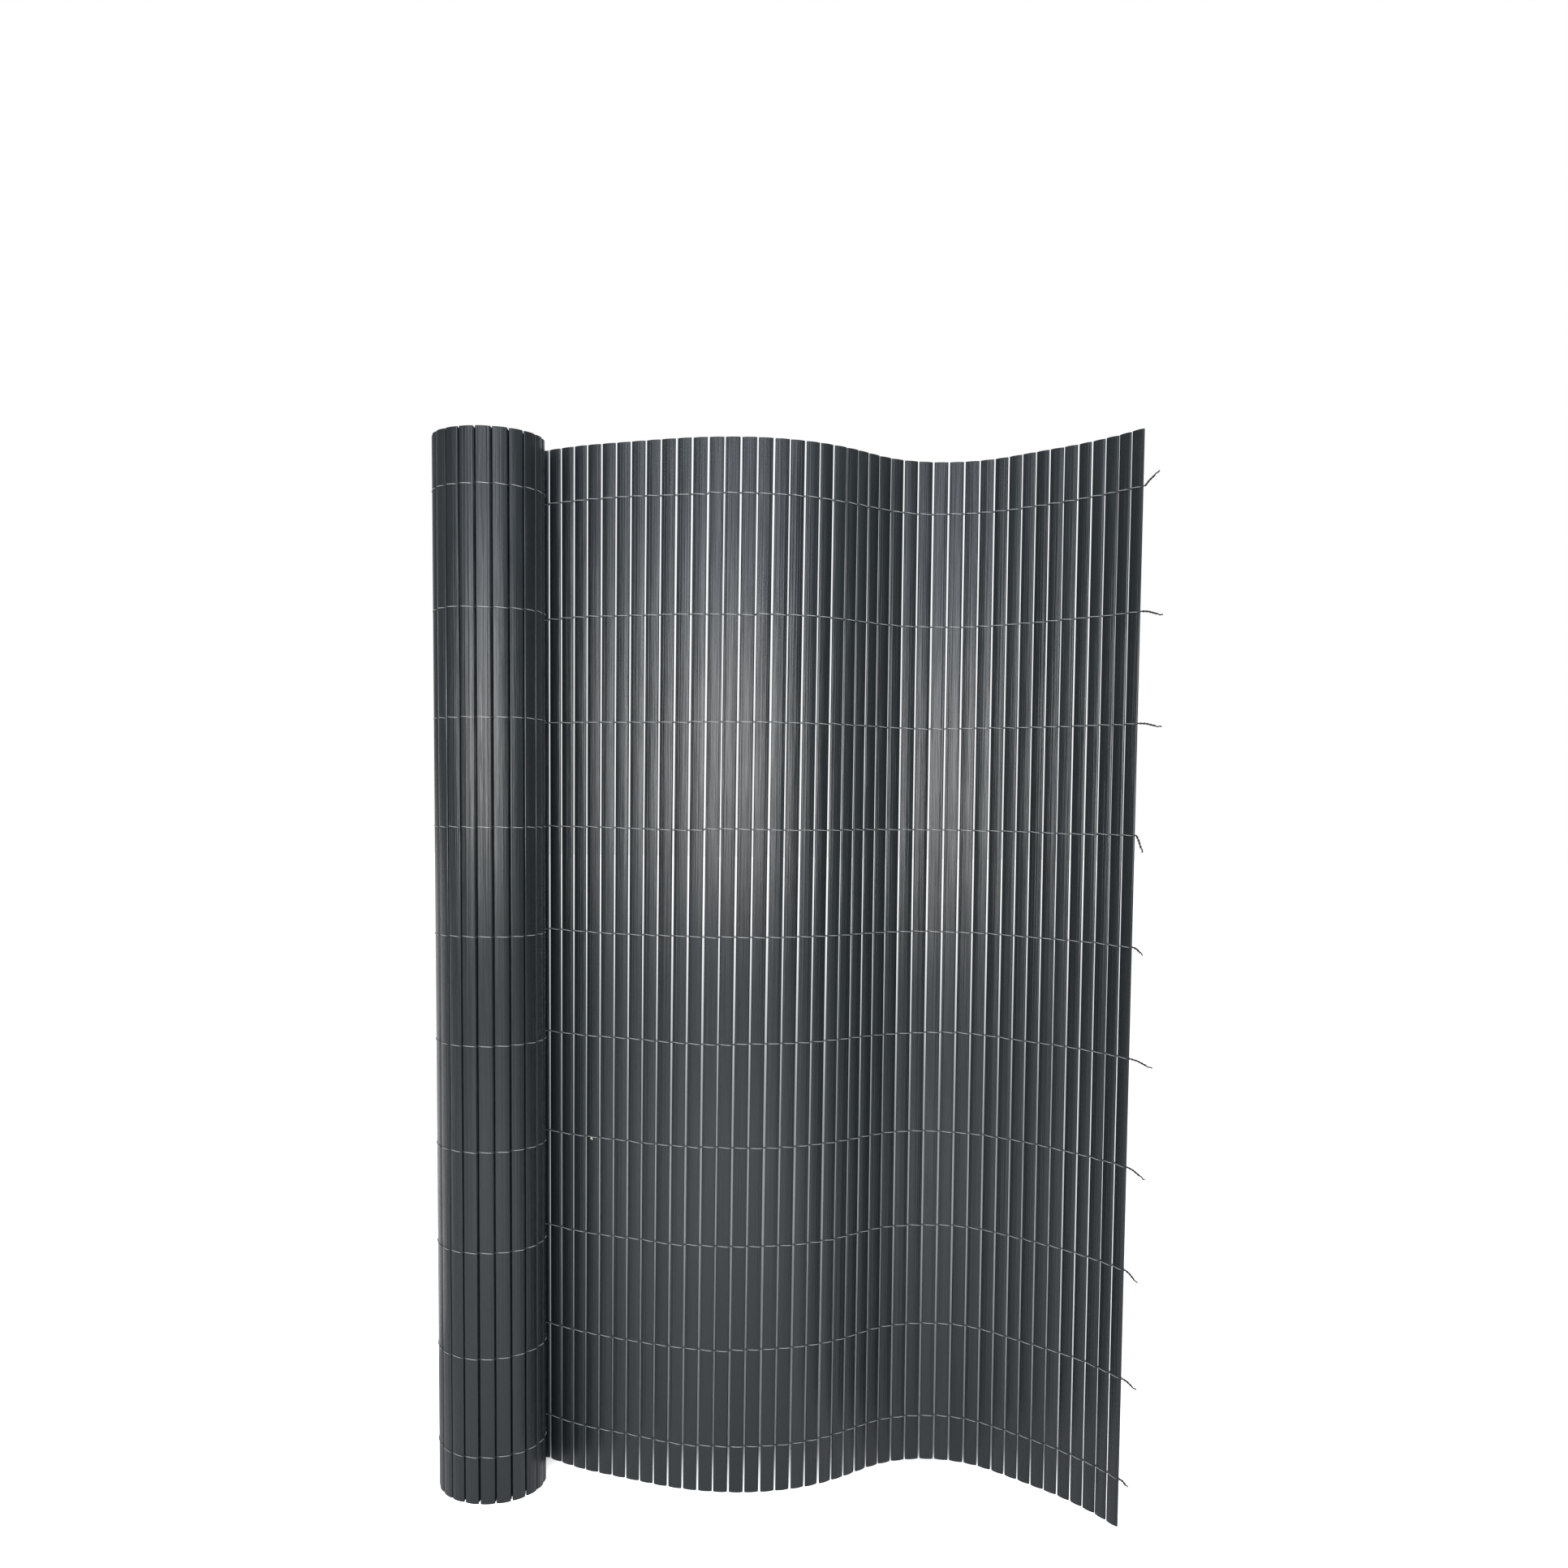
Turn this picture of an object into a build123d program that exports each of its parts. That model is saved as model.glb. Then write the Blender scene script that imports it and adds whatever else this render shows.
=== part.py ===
from build123d import *
import math
import os

# Privacy screen of hollow plastic slats bound into a mat by rows of twined wire.
# It stands on edge: a roll at the left, and the unrolled stretch waving off to the right.
# Units are millimetres and degrees. X runs to the right, Y away from the viewer and Z up.
# The origin is on the floor, under the middle of the whole screen.

# Slats
screen_height = 1000.0
slat_width = 13.2
slat_gap = 1.94
slat_thick = 3.6
slat_wall = 0.5
crown_rise = 0.6

# Binding wires
wire_thick = 0.6
wire_seat = 0.06
wire_overrun = 3.0
tail_heading = -30.0
foot_margin = 46.0
head_margin = 50.0
# Each row: how far it has slipped from an even spacing, how far its loose end reaches out and rises
tie_rows = [
    (0.0, 7.0, -5.0),
    (-4.5, 12.5, -7.5),
    (-3.0, 11.0, -9.5),
    (-7.5, 15.5, -9.0),
    (-8.0, 19.5, -6.5),
    (-7.0, 8.5, -6.0),
    (-6.5, 6.0, -15.0),
    (-7.0, 20.0, -3.5),
    (-8.5, 18.5, -4.5),
    (0.0, 12.0, 12.0),
]

# Plan of the unrolled stretch, as bends walked from the left side of the roll to the free edge:
# the slats in each bend, then the degrees it turns at the foot and at the head
start_heading = 90.0
bend_slats = [8, 2, 3, 4, 4, 4, 5, 2, 4, 5, 4, 6]
foot_bend_angles = [-116.0, -9.5, 14.0, 0.0, 15.5, 18.0, 26.0, 0.0, -34.5, -43.5, -2.5, -19.0]
head_bend_angles = [-123.0, 1.5, 12.5, 0.0, 14.0, 22.5, 26.5, 0.0, -41.5, -45.0, 0.5, -19.0]
single_slats = 42

# Roll, wound inwards from its left side
roll_radius = 51.4
roll_slats = 77
# Room between the faces of one turn and the next, where the wires bed in between the slats
turn_gap = 0.45

slat_pitch = slat_width + slat_gap
layer_pitch = slat_thick + turn_gap
face_half = slat_width / 2
edge_half = slat_thick / 2 - crown_rise


def towards(heading, length):
    """A step in plan, heading given in degrees."""
    return Vector(length * math.cos(math.radians(heading)), length * math.sin(math.radians(heading)))


def unrolled_gaps(turns):
    """Plan points of the gaps from the left side of the roll to the free edge."""
    heading = start_heading
    gaps = [Vector(-roll_radius, 0)]
    for count, turn in zip(bend_slats, turns):
        for _ in range(count):
            heading += turn / count / 2
            gaps.append(gaps[-1] + towards(heading, slat_pitch))
            heading += turn / count / 2
    return gaps


def rolled_angles():
    """Angle and radius of each gap along the roll's spiral, a slat's pitch from the last."""
    angle = math.pi
    radius = roll_radius
    found = []
    for _ in range(roll_slats):
        step = slat_pitch / radius
        for _ in range(4):
            inner = radius - layer_pitch * step / (2 * math.pi)
            step = math.acos((radius ** 2 + inner ** 2 - slat_pitch ** 2) / (2 * radius * inner))
        angle += step
        radius = inner
        found.append((angle, radius))
    return found


spiral = rolled_angles()
inner_gaps = [towards(math.degrees(angle), radius) for angle, radius in spiral]
foot_gaps = unrolled_gaps(foot_bend_angles)[::-1] + inner_gaps
head_gaps = unrolled_gaps(head_bend_angles)[::-1] + inner_gaps
slat_count = len(foot_gaps) - 1


def slat_section():
    """Flattened tube with crowned faces and an even wall."""
    section = []
    for wall in (0, slat_wall):
        half = face_half - wall
        side = edge_half - wall
        crown = slat_thick / 2 - wall
        outline = [
            ThreePointArc((-half, -side), (0, -crown), (half, -side)),
            Line((half, -side), (half, side)),
            ThreePointArc((half, side), (0, crown), (-half, side)),
            Line((-half, side), (-half, -side)),
        ]
        section.append(make_face(outline))
    return section[0] - section[1]


def hidden_section():
    """The same slat with plainer faces, for the turns inside the roll."""
    crown = slat_thick / 2
    near = [(-face_half, -edge_half), (0, -crown), (face_half, -edge_half)]
    far = [(face_half, edge_half), (0, crown), (-face_half, edge_half)]
    hollow = Rectangle(2 * (face_half - slat_wall), 2 * (edge_half - slat_wall))
    return make_face(Polyline(*near, *far, close=True)) - hollow


def make_slat(index, section):
    """One slat, straight from its place at the foot to its place at the head."""
    foot = (foot_gaps[index] + foot_gaps[index + 1]) * 0.5
    head = (head_gaps[index] + head_gaps[index + 1]) * 0.5 + Vector(0, 0, screen_height)
    along = foot_gaps[index] - foot_gaps[index + 1] + head_gaps[index] - head_gaps[index + 1]
    placed = Pos(foot) * Rot(0, 0, math.degrees(math.atan2(along.Y, along.X))) * section
    return extrude(placed, amount=(head - foot).length, dir=(head - foot).normalized())


def beside(gaps, offset):
    """The line beside the gaps at a distance, mitred at each of them. Plus is the viewer's side."""
    line = []
    for i, gap in enumerate(gaps):
        arriving = gap - gaps[i - 1] if i > 0 else gaps[1] - gap
        leaving = gaps[i + 1] - gap if i < len(gaps) - 1 else arriving
        square = arriving.normalized().rotate(Axis.Z, 90)
        mitre = (arriving.normalized() + leaving.normalized()).normalized().rotate(Axis.Z, 90)
        line.append(gap + mitre * (offset / mitre.dot(square)))
    return line


def wire_end(gaps):
    """Where the two wires of a row come together past the free edge, and the way they point."""
    outwards = (gaps[0] - gaps[1]).normalized()
    return gaps[0] + outwards * wire_overrun, outwards


def strand(gaps, side, height):
    """One wire lying on the crowns of one side of the slats, drawn in past the free edge."""
    near_offset = slat_thick / 2 + wire_seat
    near = beside(gaps, side * near_offset)
    far = beside(gaps, side * (near_offset + wire_thick))
    end, outwards = wire_end(gaps)
    inwards = outwards.rotate(Axis.Z, -90) * side
    near_end = end + inwards * wire_seat
    far_end = end + inwards * (wire_seat + wire_thick)
    outline = Polyline(near_end, *near, *far[::-1], far_end, close=True)
    return Pos(0, 0, height - wire_thick / 2) * extrude(make_face(outline), amount=wire_thick)


def loose_end(gaps, height, reach, rise):
    """The cut end of the viewer's wire, sticking out beyond the free edge."""
    end, outwards = wire_end(gaps)
    root = end - outwards * wire_thick + outwards.rotate(Axis.Z, -90) * (wire_seat + wire_thick / 2)
    run = towards(tail_heading, reach) + Vector(0, 0, rise)
    start = Plane(origin=root + Vector(0, 0, height), z_dir=run)
    return extrude(start * Rectangle(wire_thick, wire_thick), amount=run.length)


# The slats of the unrolled stretch, numbered from the free edge
nodes = {}
fine_slat = slat_section()
for index in range(single_slats):
    nodes[f"slat_{index + 1:02d}"] = [make_slat(index, fine_slat)]

# The slats of the roll, one node for each time round from where the single slats end
plain_slat = hidden_section()
first_angle = math.atan2(foot_gaps[single_slats].Y, foot_gaps[single_slats].X)
for index in range(single_slats, slat_count):
    step = index - (slat_count - roll_slats)
    turn = 1 + int((spiral[step][0] - first_angle) / (2 * math.pi)) if step >= 0 else 1
    slat = make_slat(index, fine_slat if turn == 1 else plain_slat)
    nodes.setdefault(f"roll_turn_{turn}", []).append(slat)

# The rows of wire: one strand on the viewer's side, one that also goes round the roll's outside
outer_slats = single_slats + len(nodes["roll_turn_1"])
row_spacing = (screen_height - foot_margin - head_margin) / (len(tie_rows) - 1)
for row, (slip, reach, rise) in enumerate(tie_rows):
    height = foot_margin + row * row_spacing + slip
    share = height / screen_height
    gaps = [foot + (head - foot) * share for foot, head in zip(foot_gaps, head_gaps)]
    front = strand(gaps[:single_slats + 1], 1, height) + loose_end(gaps, height, reach, rise)
    back = strand(gaps[:outer_slats + 1], -1, height)
    nodes[f"tie_row_{row + 1:02d}"] = [front, back]

# The middle of the whole screen goes over the origin
solids = {name: [solid for piece in pieces for solid in piece.solids()] for name, pieces in nodes.items()}
middle = Compound([solid for group in solids.values() for solid in group]).bounding_box().center()
to_origin = Pos(-middle.X, -middle.Y, 0)

os.makedirs("parts", exist_ok=True)
for name, group in solids.items():
    placed = [to_origin * solid for solid in group]
    export_step(placed[0] if len(placed) == 1 else Compound(placed), f"parts/{name}.step")
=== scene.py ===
import math
import random

import bmesh
import bpy
import numpy as np
from mathutils import Matrix, Vector, noise


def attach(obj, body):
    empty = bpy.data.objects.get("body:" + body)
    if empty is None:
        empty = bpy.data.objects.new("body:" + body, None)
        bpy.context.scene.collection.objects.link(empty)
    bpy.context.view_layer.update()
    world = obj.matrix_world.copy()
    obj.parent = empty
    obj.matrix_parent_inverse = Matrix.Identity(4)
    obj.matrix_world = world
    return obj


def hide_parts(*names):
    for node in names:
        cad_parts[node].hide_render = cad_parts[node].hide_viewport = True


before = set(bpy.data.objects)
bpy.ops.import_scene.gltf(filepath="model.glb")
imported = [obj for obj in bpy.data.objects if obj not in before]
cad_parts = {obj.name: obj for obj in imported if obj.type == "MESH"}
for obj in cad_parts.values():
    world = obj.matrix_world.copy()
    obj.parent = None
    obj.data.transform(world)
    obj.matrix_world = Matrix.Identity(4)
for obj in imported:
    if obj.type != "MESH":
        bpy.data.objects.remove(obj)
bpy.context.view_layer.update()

MM = 0.001

# Corner points this near each other are one, and this near an end of a slat belong to it, in metres
SAME_POINT = 1e-6
NEAR_END = 1e-4

SHEET_NODES = sorted(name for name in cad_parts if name.startswith("slat_"))
TURN_NODES = sorted(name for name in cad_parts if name.startswith("roll_turn_"))
ROW_NODES = sorted(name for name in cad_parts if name.startswith("tie_row_"))

# Section of a slat, in millimetres
SLAT_HALF_WIDTH = 6.8
SLAT_HALF_THICK = 1.8
EDGE_RADIUS = 1.1
SLAT_WALL = 0.5
EDGE_GROOVE = 0.08
CROWN_STEPS = 14
EDGE_STEPS = 6

# Where a slat's crown meets its rounded edges, from the middle of the slat, and the crown's radius
CROWN_REACH = SLAT_HALF_WIDTH - EDGE_RADIUS
CROWN_DROP = SLAT_HALF_THICK - EDGE_RADIUS
CROWN_RADIUS = (CROWN_REACH ** 2 + CROWN_DROP ** 2) / (2 * CROWN_DROP)

# How a slat sits in its binding: turned and twisted in degrees, moved sideways in millimetres
TURN_PLAY = 3.0
TWIST_PLAY = 1.8
SIDE_PLAY = 0.2

# Stretches along a slat's length, so that its twist is even
SLAT_LEVELS = 9

# Wires, in millimetres
WIRE_RADIUS = 0.34
INNER_WIRE_RADIUS = 0.3
WIRE_SIDES = 6
INNER_WIRE_SIDES = 4

# Loose ends, in millimetres: the second wire of each is cut some steps short of the first
TAIL_RADIUS = 0.62
TAIL_START = 9.5
TAIL_RISE = 0.8
TWIST_OFFSET = 0.42
TWIST_LENGTH = 6.0
TAIL_STEPS = 14
SHORTER_BY = 4

# Shares of the way to a loose end's tip where it has risen, and where it is on its straight line again
RISEN_AT = 0.3
STRAIGHT_AT = 0.75


def solids_of(node):
    """The separate solids of a CAD node, each as an array of its corner points."""
    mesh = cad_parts[node].data
    bm = bmesh.new()
    bm.from_mesh(mesh)
    bmesh.ops.remove_doubles(bm, verts=bm.verts, dist=SAME_POINT)
    bm.verts.ensure_lookup_table()
    seen = set()
    found = []
    for start in bm.verts:
        if start.index in seen:
            continue
        stack = [start]
        seen.add(start.index)
        corners = []
        while stack:
            vert = stack.pop()
            corners.append(tuple(vert.co))
            for edge in vert.link_edges:
                other = edge.other_vert(vert)
                if other.index not in seen:
                    seen.add(other.index)
                    stack.append(other)
        found.append(np.array(corners))
    bm.free()
    return found


class Slat:
    """Where one CAD slat stands: the middle of its foot and head, and the way its width runs."""

    def __init__(self, corners):
        low = corners[corners[:, 2] < NEAR_END]
        high = corners[corners[:, 2] > corners[:, 2].max() - NEAR_END]
        self.foot = Vector(low.mean(0))
        self.head = Vector(high.mean(0))
        spread = low[:, :2] - low[:, :2].mean(0)
        along = np.linalg.eigh(spread.T @ spread)[1][:, 1]
        self.along = Vector((along[0], along[1], 0))

    def at(self, height):
        """The middle of the slat at a height in metres."""
        share = (height - self.foot.z) / (self.head.z - self.foot.z)
        return self.foot.lerp(self.head, share)


def in_order(slats, start):
    """The slats of one turn, each followed by its nearest neighbour."""
    left = list(slats)
    ordered = []
    here = start
    while left:
        nearest = min(left, key=lambda slat: (slat.foot - here).length)
        left.remove(nearest)
        ordered.append(nearest)
        here = nearest.foot
    return ordered


sheet_slats = [Slat(solids_of(name)[0]) for name in SHEET_NODES]
turn_slats = []
for name in TURN_NODES:
    start = (turn_slats[-1] if turn_slats else sheet_slats)[-1].foot
    turn_slats.append(in_order([Slat(corners) for corners in solids_of(name)], start))

# Every slat's width runs on towards the next one, so that its viewer's side is known
all_slats = sheet_slats + [slat for turn in turn_slats for slat in turn]
for slat, following in zip(all_slats, all_slats[1:]):
    if slat.along.dot(following.foot - slat.foot) < 0:
        slat.along.negate()
if all_slats[-1].along.dot(all_slats[-1].foot - all_slats[-2].foot) < 0:
    all_slats[-1].along.negate()


def tube_outline(inset):
    """Half-turn symmetric outline of the flattened tube, in millimetres, inset by a wall."""
    thick = SLAT_HALF_THICK - inset
    radius = EDGE_RADIUS - inset
    lean = math.asin(CROWN_REACH / CROWN_RADIUS)
    points = []
    for step in range(CROWN_STEPS + 1):
        angle = lean - 2 * lean * step / CROWN_STEPS
        sink = EDGE_GROOVE if step in (1, CROWN_STEPS - 1) and inset == 0 else 0.0
        points.append((CROWN_RADIUS * math.sin(angle), thick - sink - CROWN_RADIUS * (1 - math.cos(angle))))
    for step in range(1, EDGE_STEPS):
        angle = math.pi / 2 + lean + (math.pi - 2 * lean) * step / EDGE_STEPS
        points.append((-CROWN_REACH + radius * math.cos(angle), radius * math.sin(angle)))
    return points + [(-x, -y) for x, y in points]


OUTER = tube_outline(0.0)
INNER = tube_outline(SLAT_WALL)


def add_slat(bm, slat, seed):
    """One hollow slat, turned a touch about its own length as the binding lets it."""
    chance = random.Random(seed)
    turn_foot = math.radians(chance.uniform(-TURN_PLAY, TURN_PLAY))
    turn_head = turn_foot + math.radians(chance.uniform(-TWIST_PLAY, TWIST_PLAY))
    shift = slat.along * (chance.uniform(-SIDE_PLAY, SIDE_PLAY) * MM)
    tint = chance.random()
    layer = bm.verts.layers.float_color.get("slat") or bm.verts.layers.float_color.new("slat")
    rings = []
    for level in range(SLAT_LEVELS + 1):
        share = level / SLAT_LEVELS
        middle = slat.foot.lerp(slat.head, share) + shift
        turn = turn_foot + (turn_head - turn_foot) * share
        along = Matrix.Rotation(turn, 3, "Z") @ slat.along
        across = Vector((-along.y, along.x, 0))
        ring = []
        for outline in (OUTER, INNER):
            row = []
            for x, y in outline:
                vert = bm.verts.new(middle + along * (x * MM) + across * (y * MM))
                vert[layer] = (tint, x / SLAT_HALF_WIDTH, 0.0, 1.0)
                row.append(vert)
            ring.append(row)
        rings.append(ring)
    for low, high in zip(rings, rings[1:]):
        for side in (0, 1):
            count = len(low[side])
            for i in range(count):
                j = (i + 1) % count
                corners = [low[side][i], low[side][j], high[side][j], high[side][i]]
                bm.faces.new(corners if side == 0 else corners[::-1]).smooth = True
    # The cut ends have corners of their own, so that they don't bend the shading of the faces
    for ring, up in ((rings[0], False), (rings[-1], True)):
        cut = []
        for row in ring:
            cut.append([bm.verts.new(vert.co) for vert in row])
            for vert, source in zip(cut[-1], row):
                vert[layer] = source[layer]
        count = len(cut[0])
        for i in range(count):
            j = (i + 1) % count
            corners = [cut[0][i], cut[0][j], cut[1][j], cut[1][i]]
            bm.faces.new(corners if up else corners[::-1]).smooth = False


def mesh_piece(name, bm, material):
    """A finished piece from mesh code."""
    mesh = bpy.data.meshes.new(name)
    bm.to_mesh(mesh)
    bm.free()
    piece = bpy.data.objects.new(name, mesh)
    bpy.context.scene.collection.objects.link(piece)
    mesh.materials.append(material)
    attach(piece, "root")
    return piece


# Materials
def new_material(name):
    """An empty node material, with its nodes and links."""
    material = bpy.data.materials.new(name)
    material.use_nodes = True
    nodes = material.node_tree.nodes
    nodes.clear()
    return material, nodes, material.node_tree.links


def math_node(nodes, links, operation, first, second):
    """The output of a Math node on two sockets or numbers."""
    node = nodes.new("ShaderNodeMath")
    node.operation = operation
    for socket, value in zip(node.inputs, (first, second)):
        if isinstance(value, bpy.types.NodeSocket):
            links.new(value, socket)
        else:
            socket.default_value = value
    return node.outputs[0]


def noise_texture(nodes, links, vector, scale, detail):
    """A noise texture over a vector."""
    node = nodes.new("ShaderNodeTexNoise")
    node.inputs["Scale"].default_value = scale
    node.inputs["Detail"].default_value = detail
    links.new(vector, node.inputs["Vector"])
    return node


def mixed_colour(nodes, links, factor, first, second):
    """The output of a colour mix, each colour a socket or three numbers."""
    node = nodes.new("ShaderNodeMix")
    node.data_type = "RGBA"
    links.new(factor, node.inputs["Factor"])
    for name, value in (("A", first), ("B", second)):
        if isinstance(value, bpy.types.NodeSocket):
            links.new(value, node.inputs[name])
        else:
            node.inputs[name].default_value = (*value, 1)
    return node.outputs["Result"]


def spread_over(nodes, links, value, low, high):
    """A value from 0 to 1 spread over another range."""
    node = nodes.new("ShaderNodeMapRange")
    node.inputs["To Min"].default_value = low
    node.inputs["To Max"].default_value = high
    links.new(value, node.inputs["Value"])
    return node.outputs["Result"]


def bump(nodes, links, height, strength, distance):
    """A bump node on a height, its distance in metres."""
    node = nodes.new("ShaderNodeBump")
    node.inputs["Strength"].default_value = strength
    node.inputs["Distance"].default_value = distance
    links.new(height, node.inputs["Height"])
    return node


def vertex_channels(nodes, links, name):
    """The channels of a colour that the mesh code has stored in the vertices."""
    attribute = nodes.new("ShaderNodeAttribute")
    attribute.attribute_name = name
    split = nodes.new("ShaderNodeSeparateColor")
    links.new(attribute.outputs["Color"], split.inputs["Color"])
    return split.outputs


# Steps in the noise of the extrusion lines: from the darkest slat to the lightest, and for each metre up
LINES_APART = 37.0
LINES_ALONG = 0.35


def slat_material():
    """Satin anthracite PVC with extrusion lines along each slat."""
    material, nodes, links = new_material("anthracite_pvc")
    output = nodes.new("ShaderNodeOutputMaterial")
    shader = nodes.new("ShaderNodeBsdfPrincipled")
    links.new(shader.outputs["BSDF"], output.inputs["Surface"])
    slat = vertex_channels(nodes, links, "slat")
    tint = slat["Red"]
    position = nodes.new("ShaderNodeNewGeometry")
    height = nodes.new("ShaderNodeSeparateXYZ")
    links.new(position.outputs["Position"], height.inputs["Vector"])

    # Lines along the slat: fast across its width, very slow along its height
    across = nodes.new("ShaderNodeCombineXYZ")
    links.new(slat["Green"], across.inputs["X"])
    links.new(math_node(nodes, links, "MULTIPLY", tint, LINES_APART), across.inputs["Y"])
    links.new(math_node(nodes, links, "MULTIPLY", height.outputs["Z"], LINES_ALONG), across.inputs["Z"])
    lines = noise_texture(nodes, links, across.outputs[0], scale=3.8, detail=4.0)
    lines.inputs["Roughness"].default_value = 0.62
    grain = noise_texture(nodes, links, position.outputs["Position"], scale=900.0, detail=2.0)

    dark = (0.0105, 0.0135, 0.0150)
    light = (0.0170, 0.0210, 0.0230)
    links.new(mixed_colour(nodes, links, tint, dark, light), shader.inputs["Base Color"])
    rough = spread_over(nodes, links, lines.outputs["Fac"], low=0.17, high=0.32)
    links.new(rough, shader.inputs["Roughness"])
    ridges = bump(nodes, links, lines.outputs["Fac"], strength=0.8, distance=0.0011)
    fine = bump(nodes, links, grain.outputs["Fac"], strength=0.06, distance=0.0002)
    links.new(ridges.outputs["Normal"], fine.inputs["Normal"])
    links.new(fine.outputs["Normal"], shader.inputs["Normal"])
    return material


def wire_material():
    """Coated wire: a mottled glossy skin with painted shade, darker by the slats' edges, in the gaps and at
    the loose ends, tan where it is cut.
    """
    material, nodes, links = new_material("coated_wire")
    output = nodes.new("ShaderNodeOutputMaterial")
    shader = nodes.new("ShaderNodeBsdfPrincipled")
    links.new(shader.outputs["BSDF"], output.inputs["Surface"])
    position = nodes.new("ShaderNodeNewGeometry")
    wire = vertex_channels(nodes, links, "wire")
    mottle = noise_texture(nodes, links, position.outputs["Position"], scale=420.0, detail=3.0)
    skin = mixed_colour(nodes, links, mottle.outputs["Fac"], (0.22, 0.235, 0.23), (0.38, 0.40, 0.39))
    # Colour of the painted shade that darkens the wire in the gaps, by the edges and at the loose ends
    dark = (0.015, 0.016, 0.016)
    tan = (0.72, 0.60, 0.42)
    # The skin with painted shade laid over it where the mesh marks the wire as by an edge, in a gap or
    # loose
    painted_shade_skin = mixed_colour(nodes, links, wire["Red"], dark, skin)
    links.new(mixed_colour(nodes, links, wire["Green"], painted_shade_skin, tan), shader.inputs["Base Color"])
    rough = spread_over(nodes, links, wire["Red"], low=0.8, high=0.35)
    links.new(rough, shader.inputs["Roughness"])
    uneven = bump(nodes, links, mottle.outputs["Fac"], strength=0.2, distance=0.0002)
    links.new(uneven.outputs["Normal"], shader.inputs["Normal"])
    return material


PVC = slat_material()
WIRE = wire_material()

# Slats
for index, (name, slat) in enumerate(zip(SHEET_NODES, sheet_slats)):
    bm = bmesh.new()
    add_slat(bm, slat, index)
    piece = mesh_piece(name + "_tube", bm, PVC)
    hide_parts(name)

seed = len(sheet_slats)
for name, slats in zip(TURN_NODES, turn_slats):
    bm = bmesh.new()
    for slat in slats:
        add_slat(bm, slat, seed)
        seed += 1
    piece = mesh_piece(name + "_tubes", bm, PVC)
    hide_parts(name)


# Wires
def crown_height(x):
    """How far the slat's face stands out at a place across its width, both in millimetres."""
    if abs(x) <= CROWN_REACH:
        return SLAT_HALF_THICK - CROWN_RADIUS + math.sqrt(CROWN_RADIUS ** 2 - x ** 2)
    past = min(abs(x) - CROWN_REACH, EDGE_RADIUS)
    return math.sqrt(EDGE_RADIUS ** 2 - past ** 2)


# Painted shade of a wire, then its tan: how light it is, darkened by painted shade by the slats' edges, in
# the gaps between them and on the loose ends seen against the light, then how tan, as on a fresh cut
ON_FACE = (1.0, 0.0)
BY_EDGE = (0.35, 0.0)
IN_GAP = (0.0, 0.0)
LOOSE = (0.0, 0.0)
CUT_TIP = (0.0, 1.0)

# Places across a slat where its wire is given, in millimetres, and its shade there
STRAND_REACH = 6.9
ACROSS_STOPS = (
    (-STRAND_REACH, IN_GAP),
    (-5.4, BY_EDGE),
    (-3.6, ON_FACE),
    (0.0, ON_FACE),
    (3.6, ON_FACE),
    (5.4, BY_EDGE),
    (STRAND_REACH, IN_GAP),
)

# How far a wire stands off a slat's face and off the middle of a gap, in millimetres
OFF_FACE = 0.03
OFF_MIDDLE = 0.75

# How much a wire climbs across half a slat, in millimetres: by turns, and at random
CLIMB = 0.45
RANDOM_CLIMB = 0.5


def strand_path(slats, height, strand, wander):
    """One of a row's two wires, passing to the other face of the mat in every gap.

    Each stop is a point, the wire's radius there and its painted shade.
    """
    stops = []
    for i, slat in enumerate(slats):
        side = 1 if (i + strand) % 2 == 0 else -1
        middle = slat.at(height)
        across = Vector((-slat.along.y, slat.along.x, 0))
        slope = CLIMB * side + RANDOM_CLIMB * noise.noise(Vector((i * 3.1, height * 10, 4.0)))
        for x, shade in ACROSS_STOPS:
            lift = OFF_MIDDLE if shade == IN_GAP else crown_height(x) + WIRE_RADIUS + OFF_FACE
            z = wander(i) + slope * x / STRAND_REACH
            point = middle + slat.along * (x * MM) + across * (side * lift * MM) + Vector((0, 0, z * MM))
            stops.append((point, WIRE_RADIUS, shade))
    return stops


def add_tube(bm, stops, sides=WIRE_SIDES):
    """A round wire along its stops, closed at both ends."""
    layer = bm.verts.layers.float_color.get("wire") or bm.verts.layers.float_color.new("wire")
    points = [point for point, _, _ in stops]
    rings = []
    for i, (point, radius, shade) in enumerate(stops):
        before = points[max(i - 1, 0)]
        after = points[min(i + 1, len(points) - 1)]
        ahead = (after - before).normalized()
        side = ahead.cross(Vector((0, 0, 1))).normalized()
        up = side.cross(ahead).normalized()
        ring = []
        for k in range(sides):
            angle = 2 * math.pi * k / sides
            around = side * math.cos(angle) + up * math.sin(angle)
            vert = bm.verts.new(point + around * (radius * MM))
            vert[layer] = (*shade, 0.0, 1.0)
            ring.append(vert)
        rings.append(ring)
    for low, high in zip(rings, rings[1:]):
        for k in range(sides):
            j = (k + 1) % sides
            bm.faces.new([low[k], low[j], high[j], high[k]]).smooth = True
    bm.faces.new(rings[0][::-1])
    bm.faces.new(rings[-1])


# The corner points of a loose end's tip
TIP_CORNERS = 4


def row_facts(node):
    """A CAD row's height, and the tip of its loose end."""
    solids = solids_of(node)
    heights = [corners[:, 2] for corners in solids]
    flat = min(heights, key=lambda z: z.max() - z.min())
    level = (flat.max() + flat.min()) / 2
    longest = max(solids, key=lambda corners: corners[:, 2].max() - corners[:, 2].min())
    tip = longest[np.argsort(longest[:, 0])[-TIP_CORNERS:]].mean(0)
    return level, Vector(tip)


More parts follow.
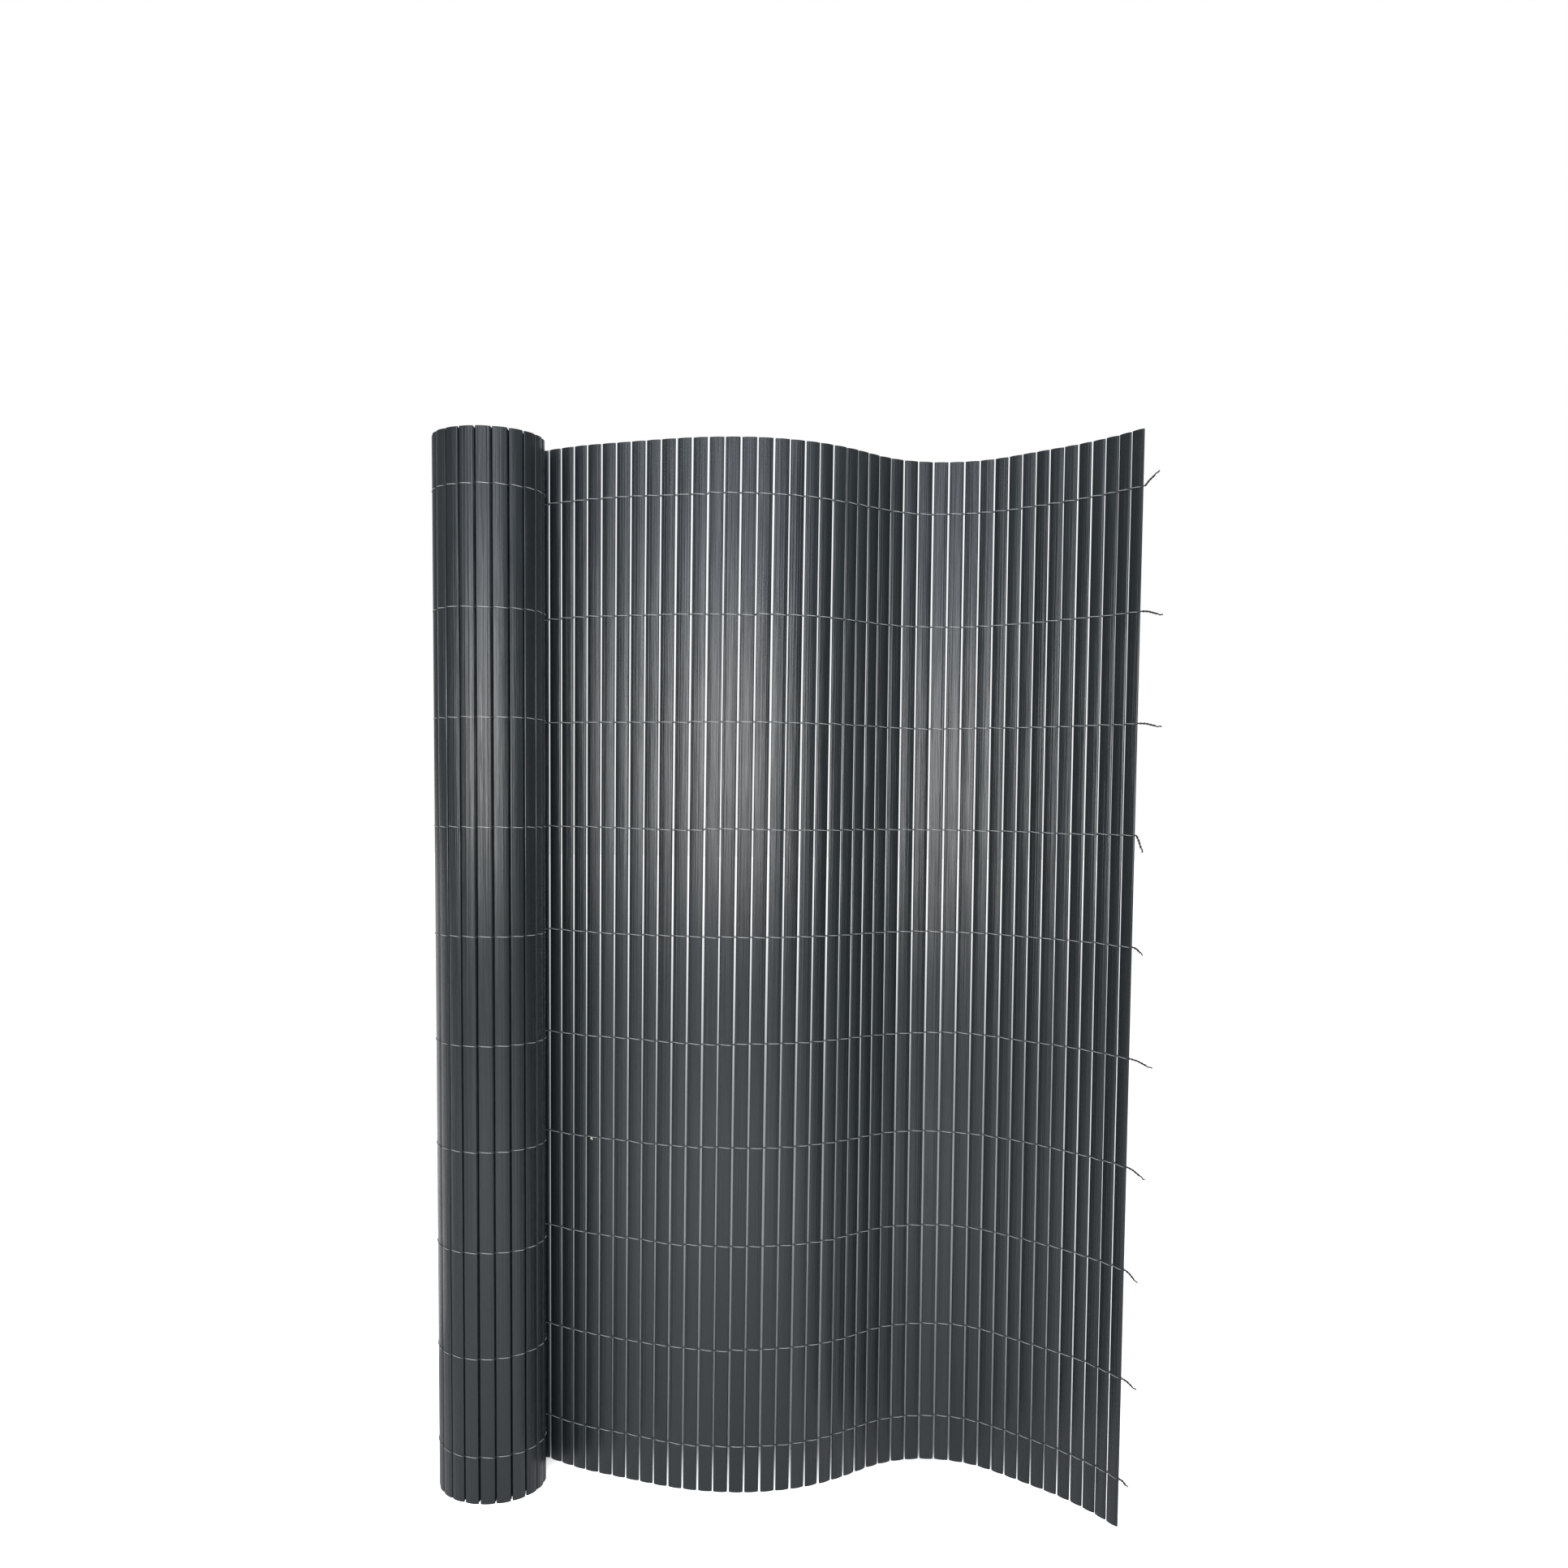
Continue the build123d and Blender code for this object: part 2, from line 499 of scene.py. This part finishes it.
def twisted_tail(knots, strand):
    """One wire of a loose end, from the mat outwards, twisted with the other one."""
    points = []
    spans = list(zip(knots, knots[1:]))
    total = sum((end - start).length for start, end in spans)
    for step in range(TAIL_STEPS + 1 - SHORTER_BY * strand):
        left = total * step / TAIL_STEPS
        share = left / (TWIST_LENGTH * MM)
        for start, end in spans:
            if left <= (end - start).length or end is knots[-1]:
                break
            left -= (end - start).length
        ahead = (end - start).normalized()
        side = ahead.cross(Vector((0, 0, 1))).normalized()
        up = side.cross(ahead)
        angle = 2 * math.pi * share + math.pi * strand
        offset = (side * math.cos(angle) + up * math.sin(angle)) * (TWIST_OFFSET * MM)
        points.append(start + ahead * left + offset)
    return points


# How far a row strays from its level, in millimetres, how quickly from slat to slat,
# and the span of noise in which each row has a place of its own
SLOW_STRAY = 0.9
SLOW_RATE = 0.21
QUICK_STRAY = 0.35
QUICK_RATE = 1.7
NOISE_SPAN = 50

# Each row also drops at a slat between these two, by so many millimetres, and climbs back after it
DROP_SLATS = (28, 32)
DROP_HEIGHT = 1.1
DROP_FADE = 5
ROW_SEED = 100


def row_wander(seed):
    """A function of the slat's number: how far a row is above its level there, in millimetres."""
    chance = random.Random(seed)
    shift = chance.uniform(0, NOISE_SPAN)
    drop_at = chance.randint(*DROP_SLATS)

    def wander(i):
        slow = SLOW_STRAY * noise.noise(Vector((i * SLOW_RATE + shift, 0.0, 0.0)))
        quick = QUICK_STRAY * noise.noise(Vector((i * QUICK_RATE, shift, 0.0)))
        drop = DROP_HEIGHT * math.exp(-(i - drop_at) / DROP_FADE) if i >= drop_at else 0.0
        return slow + quick - drop

    return wander


# A spliced wire with two tan cut ends near the roll: its row, and its place along X in metres
STUB_ROW = "tie_row_04"
STUB_X = -0.1796

# In millimetres: how far it starts off the slat's middle and comes forward, and each end's reach and drop
STUB_OFF = 2.4
STUB_FORWARD = 1.2
STUB_RADIUS = 0.5
STUB_ENDS = ((1.2, 2.6), (-0.6, 1.6))


def add_stub(bm, level):
    """The cut ends of the spliced wire, on the slat nearest their place."""
    slat = min(sheet_slats, key=lambda slat: abs(slat.at(level).x - STUB_X))
    across = Vector((-slat.along.y, slat.along.x, 0))
    root = slat.at(level) + across * (STUB_OFF * MM)
    for reach, drop in STUB_ENDS:
        end = root - slat.along * (reach * MM) + across * (STUB_FORWARD * MM) - Vector((0, 0, drop * MM))
        middle = root.lerp(end, 0.5)
        stops = [(root, WIRE_RADIUS, ON_FACE), (middle, STUB_RADIUS, CUT_TIP), (end, STUB_RADIUS, CUT_TIP)]
        add_tube(bm, stops)


seen_slats = sheet_slats + turn_slats[0]
hidden_slats = [slat for turn in turn_slats[1:] for slat in turn]

for number, node in enumerate(ROW_NODES):
    level, tip = row_facts(node)
    wander = row_wander(ROW_SEED + number)
    free_slat = seen_slats[0]
    start = free_slat.at(level) - free_slat.along * (TAIL_START * MM) + Vector((0, 0, wander(0) * MM))
    risen = start.lerp(tip, RISEN_AT) + Vector((0, 0, TAIL_RISE * MM))
    knots = (start, risen, start.lerp(tip, STRAIGHT_AT), tip)
    bm = bmesh.new()
    for strand in (0, 1):
        tail = [(point, TAIL_RADIUS, LOOSE) for point in twisted_tail(knots, strand)]
        add_tube(bm, tail[::-1] + strand_path(seen_slats, level, strand, wander))
    if node == STUB_ROW:
        add_stub(bm, level)
    piece = mesh_piece(node + "_wires", bm, WIRE)
    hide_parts(node)

# Wires between the hidden turns
bm = bmesh.new()
for node in ROW_NODES:
    level, _ = row_facts(node)
    stops = []
    for slat, following in zip(hidden_slats, hidden_slats[1:]):
        middle = (slat.at(level) + following.at(level)) / 2
        stops.append((middle, INNER_WIRE_RADIUS, IN_GAP))
    add_tube(bm, stops, INNER_WIRE_SIDES)
piece = mesh_piece("inner_wires", bm, WIRE)

# Floor and surroundings
scene = bpy.context.scene

# The floor's glow is taken away in a wedge, a painted shadow over its real shadow; the wedge's point would
# be this far in front of the screen, in metres
SHADOW_POINT = 1.4

# It fades out at its sides and far back, as shares of the distance from that point
SHADOW_SIDE = (0.18, 0.25)
SHADOW_FAR = (0.5, 0.95)

# It comes in between these places along Y, in metres
SHADOW_FRONT = (-0.02, 0.10)

# Floor further back than this is bright where the slats mirror it, in metres
BEYOND_SCREEN = 0.3


def ramp(nodes, links, value, start, stop):
    """A soft step from 0 at one value to 1 at the other."""
    node = nodes.new("ShaderNodeMapRange")
    node.interpolation_type = "SMOOTHSTEP"
    node.inputs["From Min"].default_value = start
    node.inputs["From Max"].default_value = stop
    links.new(value, node.inputs["Value"])
    return node.outputs["Result"]


def floor_material():
    """Pale floor that keeps the screen's real shadow behind it, deepened there by a painted shadow where
    its glow is taken away, and is plain white elsewhere.
    """
    material, nodes, links = new_material("white_floor")
    output = nodes.new("ShaderNodeOutputMaterial")
    diffuse = nodes.new("ShaderNodeBsdfDiffuse")
    diffuse.inputs["Color"].default_value = (0.90, 0.90, 0.89, 1)
    position = nodes.new("ShaderNodeNewGeometry")
    place = nodes.new("ShaderNodeSeparateXYZ")
    links.new(position.outputs["Position"], place.inputs["Vector"])
    x = place.outputs["X"]
    y = place.outputs["Y"]

    # The painted shadow, where the glow is taken away, is a wedge that opens away from the lamps and fades
    # out far behind the screen
    depth = math_node(nodes, links, "ADD", y, SHADOW_POINT)
    spread = math_node(nodes, links, "DIVIDE", math_node(nodes, links, "ABSOLUTE", x, 0.0), depth)
    beside = ramp(nodes, links, spread, *SHADOW_SIDE)
    infront = math_node(nodes, links, "SUBTRACT", 1.0, ramp(nodes, links, y, *SHADOW_FRONT))
    far = ramp(nodes, links, math_node(nodes, links, "DIVIDE", y, depth), *SHADOW_FAR)
    # Strength of the glow: none inside the painted shadow, full outside it
    lit = math_node(nodes, links, "MAXIMUM", math_node(nodes, links, "MAXIMUM", beside, infront), far)
    glow = nodes.new("ShaderNodeEmission")
    links.new(lit, glow.inputs["Strength"])
    both = nodes.new("ShaderNodeAddShader")
    links.new(diffuse.outputs[0], both.inputs[0])
    links.new(glow.outputs[0], both.inputs[1])
    path = nodes.new("ShaderNodeLightPath").outputs
    thrown = math_node(nodes, links, "MAXIMUM", path["Is Glossy Ray"], path["Is Transmission Ray"])
    beyond = math_node(nodes, links, "GREATER_THAN", y, BEYOND_SCREEN)
    thrown = math_node(nodes, links, "MULTIPLY", thrown, beyond)
    choose = nodes.new("ShaderNodeMixShader")
    links.new(math_node(nodes, links, "MAXIMUM", path["Is Camera Ray"], thrown), choose.inputs["Fac"])
    links.new(diffuse.outputs[0], choose.inputs[1])
    links.new(both.outputs[0], choose.inputs[2])
    links.new(choose.outputs[0], output.inputs["Surface"])
    return material


bpy.ops.mesh.primitive_plane_add(size=30, location=(0, 0, 0))
floor = bpy.context.object
floor.name = "floor"
floor.data.materials.append(floor_material())


def surround():
    """Soft light from all round, and a plain white background behind the screen.

    A mirrored or transmitted ray sees that background where it goes on away from the viewer,
    and the dim room elsewhere.
    """
    world = bpy.data.worlds.new("studio")
    world.use_nodes = True
    nodes = world.node_tree.nodes
    links = world.node_tree.links
    nodes.clear()
    output = nodes.new("ShaderNodeOutputWorld")
    lit = nodes.new("ShaderNodeBackground")
    lit.inputs["Color"].default_value = (0.94, 0.97, 1.0, 1)
    lit.inputs["Strength"].default_value = 0.25
    backdrop = nodes.new("ShaderNodeBackground")
    backdrop.inputs["Color"].default_value = (1, 1, 1, 1)
    backdrop.inputs["Strength"].default_value = 1.0
    heading = nodes.new("ShaderNodeSeparateXYZ")
    links.new(nodes.new("ShaderNodeTexCoord").outputs["Generated"], heading.inputs["Vector"])
    behind = ramp(nodes, links, heading.outputs["Y"], 0.8, 1.0)
    path = nodes.new("ShaderNodeLightPath").outputs
    thrown = math_node(nodes, links, "MAXIMUM", path["Is Glossy Ray"], path["Is Transmission Ray"])
    thrown = math_node(nodes, links, "MULTIPLY", thrown, behind)
    choose = nodes.new("ShaderNodeMixShader")
    links.new(math_node(nodes, links, "MAXIMUM", path["Is Camera Ray"], thrown), choose.inputs["Fac"])
    links.new(lit.outputs[0], choose.inputs[1])
    links.new(backdrop.outputs[0], choose.inputs[2])
    links.new(choose.outputs[0], output.inputs["Surface"])
    return world


scene.world = surround()


def area_light(name, place, aim, width, height, radiance, colour):
    """A soft rectangular lamp pointed at a place."""
    lamp = bpy.data.lights.new(name, "AREA")
    lamp.shape = "RECTANGLE"
    lamp.size = width
    lamp.size_y = height
    lamp.energy = radiance * math.pi * width * height
    lamp.color = colour
    holder = bpy.data.objects.new(name, lamp)
    holder.location = place
    holder.rotation_euler = (Vector(aim) - Vector(place)).to_track_quat("-Z", "Y").to_euler()
    scene.collection.objects.link(holder)


# Each lamp: its place, what it points at, its width and height in metres, its radiance and its colour
area_light("softbox", (-0.30, -2.3, 0.80), (0, 0, 0.75), 1.8, 0.6, 11, (1.0, 1.0, 0.98))
area_light("upper_softbox", (-0.20, -2.3, 1.55), (0, 0, 0.75), 1.8, 1.0, 3.6, (0.80, 0.86, 1.0))
area_light("overhead", (0.05, -1.3, 2.3), (0, 0.4, 0), 1.2, 1.2, 7, (0.95, 0.97, 1.0))

# Camera, from a fit of the slats and rows to the photograph: metres, degrees and the photograph's pixels
CAMERA_PLACE = (-0.0114, -1.342, 0.6715)
SENSOR_WIDTH = 36
PITCH = 4.7545
TILT = 0.6807
PHOTO_SIDE = 1932
FOCAL_PIXELS = 1751
AXIS_PIXEL = (951.4, 1129.4)

camera_data = bpy.data.cameras.new("camera")
camera = bpy.data.objects.new("camera", camera_data)
scene.collection.objects.link(camera)
camera.location = CAMERA_PLACE
looking = Matrix.Rotation(math.radians(90 - PITCH), 4, "X") @ Matrix.Rotation(math.radians(TILT), 4, "Z")
camera.rotation_euler = looking.to_euler()
camera_data.sensor_width = SENSOR_WIDTH
camera_data.lens = FOCAL_PIXELS / PHOTO_SIDE * SENSOR_WIDTH
camera_data.shift_x = (PHOTO_SIDE / 2 - AXIS_PIXEL[0]) / PHOTO_SIDE
camera_data.shift_y = (AXIS_PIXEL[1] - PHOTO_SIDE / 2) / PHOTO_SIDE
scene.camera = camera
scene.view_settings.view_transform = "Standard"
